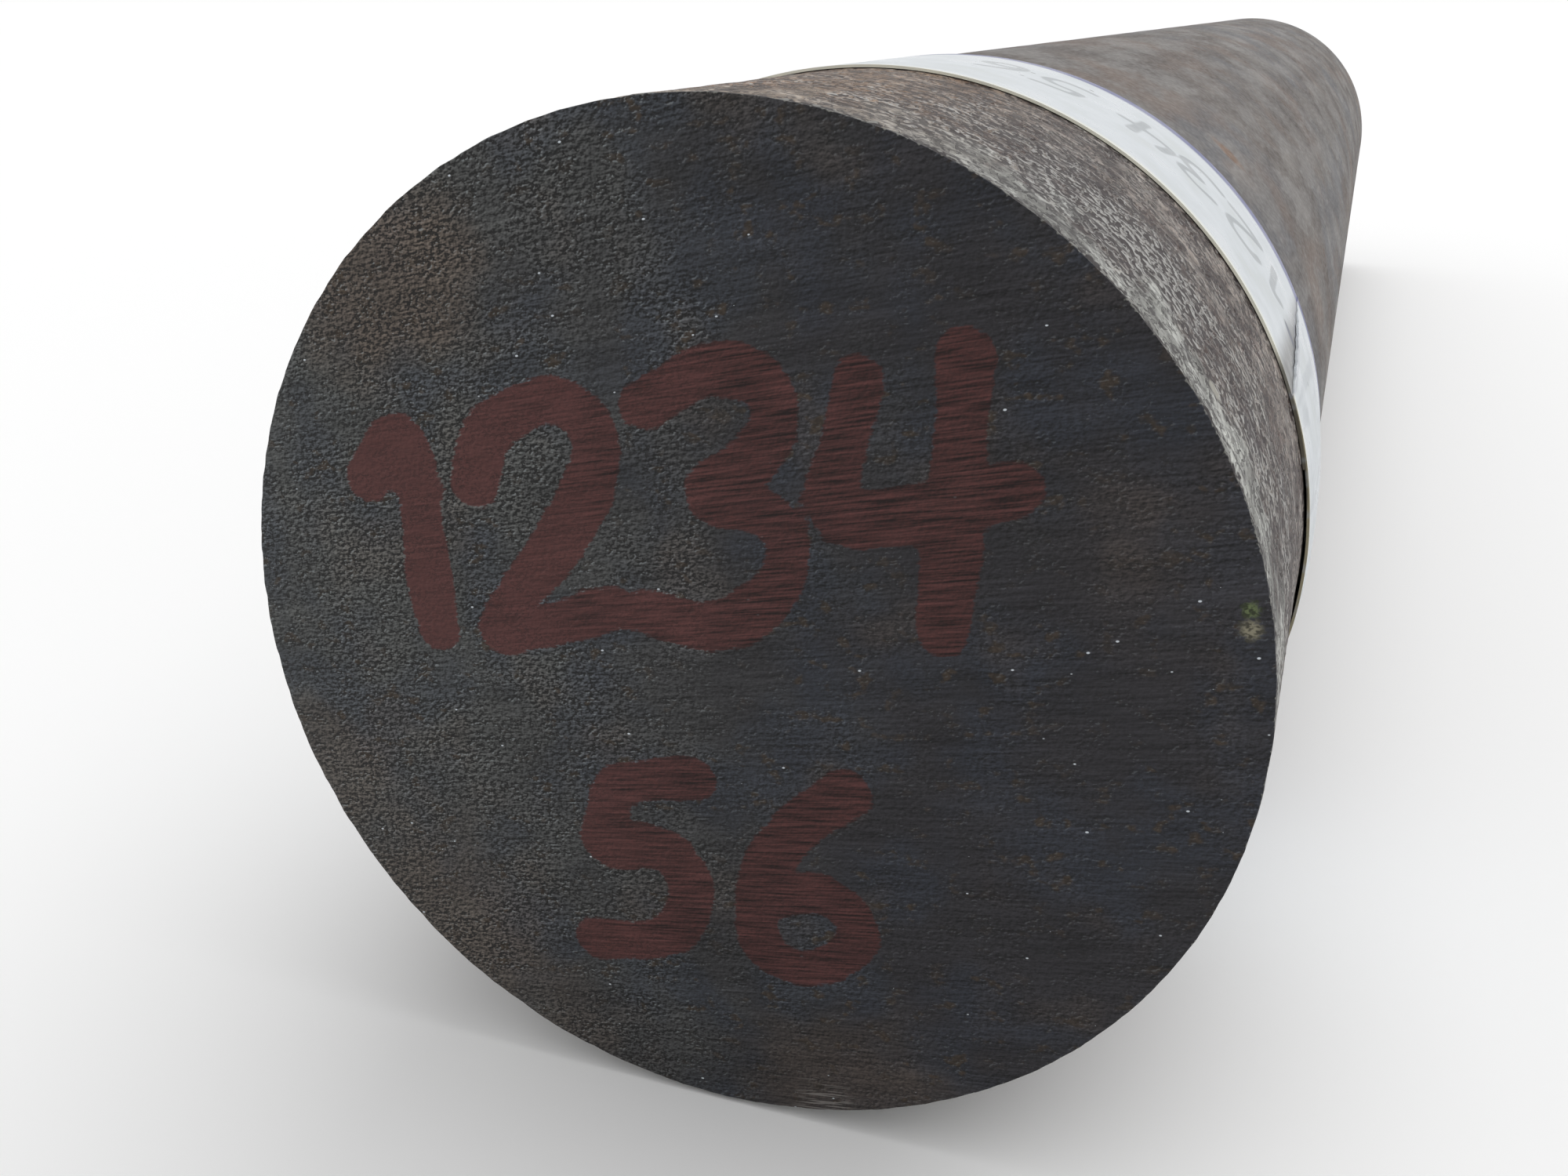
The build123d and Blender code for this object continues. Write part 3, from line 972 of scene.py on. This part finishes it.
    def shape(self, tape, settings):
        """Ripples by the lap and along the far edge, then the strip's thickness."""
        wrinkles = noise_texture("wrinkles", depth=2)
        lap = vertex_group(tape, "lap", lambda co: max(0, 1 - abs(degrees(atan2(co.z, co.x)) + 5) / 30)
                           if radius_of(co) > self.middle + 0.05 * MM else 0)
        far_edge = vertex_group(tape, "far_edge", lambda co: max(0, 1 - (TAPE_HIGH.y - co.y) / (6 * MM)))
        displace(tape, "Wrinkles", wrinkles, (2.4 * MM, 14 * MM, 2.4 * MM), 0.2 * MM, 0.3, "NORMAL", lap)
        cupped = vertex_group(tape, "cupped", lambda co: max(0.6 - (co.y - TAPE_LOW.y) / (8 * MM),
                                                             0.9 - (TAPE_HIGH.y - co.y) / (8 * MM), 0) *
                              min(1, (radius_of(co) - self.middle) / settings.loose_gap) if co.x > 0 else 0)
        apply_modifier(tape, "Cupped edge", "DISPLACE", vertex_group=cupped, mid_level=0,
                       strength=settings.loose_gap)
        displace(tape, "Uneven edge", wrinkles, (9 * MM, 1, 9 * MM), 0.35 * MM, 1.0, "Y", far_edge)
        apply_modifier(tape, "Thickness", "SOLIDIFY", thickness=TAPE_THICKNESS * TAPE_BODY, offset=0)


class SCENE_OT_bar_stage(Operator):
    """Set up the camera, the soft light and the pale floor"""

    bl_idname = "scene.bar_stage"
    bl_label = "Stage"

    def execute(self, context):
        settings = context.scene.stage_settings
        put_down()
        self.camera(context, settings)
        self.light(context, settings)
        self.floor(settings)
        context.scene.view_settings.view_transform = "Standard"
        return {"FINISHED"}

    def camera(self, context, settings):
        bpy.ops.object.camera_add(location=settings.standpoint,
                                  rotation=(pi / 2 - settings.elevation, 0, settings.azimuth))
        camera = context.object
        camera.name = "bar_camera"
        camera.data.lens = settings.lens
        camera.data.sensor_width = 36
        camera.data.clip_start = 0.002
        camera.data.clip_end = 200
        context.scene.camera = camera

    def light(self, context, settings):
        bpy.ops.object.light_add(type="SUN", location=(0.1, 0.3, 0.5), rotation=(radians(-25), radians(15), 0))
        lamp = context.object
        lamp.name = "soft_sun"
        lamp.data.energy = settings.sun_level
        lamp.data.angle = radians(70)
        world = context.scene.world or bpy.data.worlds.new("studio")
        context.scene.world = world
        world.use_nodes = True
        r = Recipe(world.node_tree)
        world.node_tree.nodes.clear()
        path = r.node("ShaderNodeLightPath").outputs
        seen = r.math("MAXIMUM", path["Is Camera Ray"],
                      r.math("MAXIMUM", path["Is Glossy Ray"], path["Is Transmission Ray"]))
        level = r.math("ADD", settings.world_level, r.math("MULTIPLY", seen, 1 - settings.world_level))
        sky = r.node("ShaderNodeBackground", (), {"Color": (1, 1, 1, 1), "Strength": level})
        r.feed(r.node("ShaderNodeOutputWorld").inputs["Surface"], sky.outputs[0])

    def floor(self, settings):
        bpy.ops.mesh.primitive_circle_add(vertices=96, radius=60, fill_type="NGON", location=(0, 0, CAD_LOW.z))
        floor = bpy.context.object
        floor.name = "floor"
        material, _, shader, _ = new_material("floor")
        shader.inputs["Base Color"].default_value = tuple(settings.floor)
        shader.inputs["Roughness"].default_value = 0.9
        floor.data.materials.append(material)


# ---- Panel and registration ----


class VIEW3D_PT_round_bar(Panel):
    """Buttons for the bar, its tape and the stage"""

    bl_label = "Round Bar"
    bl_idname = "VIEW3D_PT_round_bar"
    bl_space_type = "VIEW_3D"
    bl_region_type = "UI"
    bl_category = "Round Bar"

    def draw(self, context):
        for settings, operator in ((context.scene.bar_settings, MESH_OT_sawn_bar),
                                   (context.scene.tape_settings, MESH_OT_label_tape),
                                   (context.scene.stage_settings, SCENE_OT_bar_stage)):
            box = self.layout.box()
            for name in settings.__annotations__:
                box.prop(settings, name)
            box.operator(operator.bl_idname)


SETTINGS = {"bar_settings": BarSettings, "tape_settings": TapeSettings, "stage_settings": StageSettings}
CLASSES = (*SETTINGS.values(), MESH_OT_sawn_bar, MESH_OT_label_tape, SCENE_OT_bar_stage, VIEW3D_PT_round_bar)


def register():
    for cls in CLASSES:
        bpy.utils.register_class(cls)
    for name, cls in SETTINGS.items():
        setattr(bpy.types.Scene, name, PointerProperty(type=cls))


def unregister():
    for name in SETTINGS:
        delattr(bpy.types.Scene, name)
    for cls in reversed(CLASSES):
        bpy.utils.unregister_class(cls)


def main():
    register()
    bpy.ops.scene.bar_stage()
    bpy.ops.mesh.sawn_bar()
    bpy.ops.mesh.label_tape()


if __name__ == "__main__":
    main()
